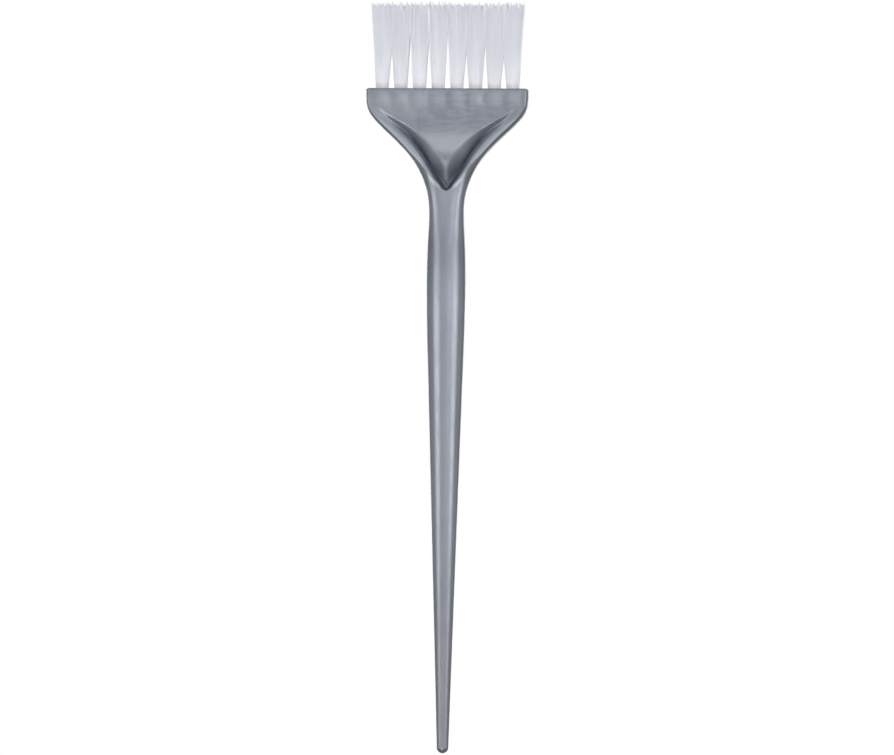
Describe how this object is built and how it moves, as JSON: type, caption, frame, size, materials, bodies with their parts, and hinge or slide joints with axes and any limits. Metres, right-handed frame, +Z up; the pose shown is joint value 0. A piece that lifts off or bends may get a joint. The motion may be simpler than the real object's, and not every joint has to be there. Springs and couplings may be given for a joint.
{
  "type": "tint brush",
  "caption": "Flat hair colour brush: slim moulded handle that tapers to a tail, flared head with a V-shaped relief on both faces, and one row of stapled nylon bristle tufts that bend.",
  "frame": {"origin": "on the handle's axis in the middle of the grip, where the handle is fattest; the brush is held there, upright", "axes": "+Z up the handle from the tail to the bristles, +X along the row of tufts, and -Y out of the front face of the head"},
  "size_m": [0.0478, 0.0114, 0.2198],
  "materials": {
    "handle_plastic": "pearlescent grey moulding, satin gloss with faint flow marks",
    "bristle_nylon": "translucent white nylon filaments, slightly blue",
    "anchor_metal": "bright flat wire"
  },
  "bodies": {
    "handle": {"handle": "handle_plastic", "anchor_1": "anchor_metal", "anchor_2": "anchor_metal", "anchor_3": "anchor_metal", "anchor_4": "anchor_metal", "anchor_5": "anchor_metal", "anchor_6": "anchor_metal", "anchor_7": "anchor_metal", "anchor_8": "anchor_metal", "tuft_root_1": "bristle_nylon", "tuft_root_2": "bristle_nylon", "tuft_root_3": "bristle_nylon", "tuft_root_4": "bristle_nylon", "tuft_root_5": "bristle_nylon", "tuft_root_6": "bristle_nylon", "tuft_root_7": "bristle_nylon", "tuft_root_8": "bristle_nylon"},
    "tuft_1": {"tuft_1": "bristle_nylon"},
    "tuft_2": {"tuft_2": "bristle_nylon"},
    "tuft_3": {"tuft_3": "bristle_nylon"},
    "tuft_4": {"tuft_4": "bristle_nylon"},
    "tuft_5": {"tuft_5": "bristle_nylon"},
    "tuft_6": {"tuft_6": "bristle_nylon"},
    "tuft_7": {"tuft_7": "bristle_nylon"},
    "tuft_8": {"tuft_8": "bristle_nylon"}
  },
  "joints": [
    {"name": "tuft_1_bend", "type": "hinge", "parent": "handle", "child": "tuft_1", "pos_m": [-0.01918, 0, 0.0592], "axis": [1, 0, 0], "range_deg": [-35, 35], "stiffness_Nm_per_rad": 0.003},
    {"name": "tuft_2_bend", "type": "hinge", "parent": "handle", "child": "tuft_2", "pos_m": [-0.0137, 0, 0.0592], "axis": [1, 0, 0], "range_deg": [-35, 35], "stiffness_Nm_per_rad": 0.003},
    {"name": "tuft_3_bend", "type": "hinge", "parent": "handle", "child": "tuft_3", "pos_m": [-0.00822, 0, 0.0592], "axis": [1, 0, 0], "range_deg": [-35, 35], "stiffness_Nm_per_rad": 0.003},
    {"name": "tuft_4_bend", "type": "hinge", "parent": "handle", "child": "tuft_4", "pos_m": [-0.00274, 0, 0.0592], "axis": [1, 0, 0], "range_deg": [-35, 35], "stiffness_Nm_per_rad": 0.003},
    {"name": "tuft_5_bend", "type": "hinge", "parent": "handle", "child": "tuft_5", "pos_m": [0.00274, 0, 0.0592], "axis": [1, 0, 0], "range_deg": [-35, 35], "stiffness_Nm_per_rad": 0.003},
    {"name": "tuft_6_bend", "type": "hinge", "parent": "handle", "child": "tuft_6", "pos_m": [0.00822, 0, 0.0592], "axis": [1, 0, 0], "range_deg": [-35, 35], "stiffness_Nm_per_rad": 0.003},
    {"name": "tuft_7_bend", "type": "hinge", "parent": "handle", "child": "tuft_7", "pos_m": [0.0137, 0, 0.0592], "axis": [1, 0, 0], "range_deg": [-35, 35], "stiffness_Nm_per_rad": 0.003},
    {"name": "tuft_8_bend", "type": "hinge", "parent": "handle", "child": "tuft_8", "pos_m": [0.01918, 0, 0.0592], "axis": [1, 0, 0], "range_deg": [-35, 35], "stiffness_Nm_per_rad": 0.003}
  ]
}
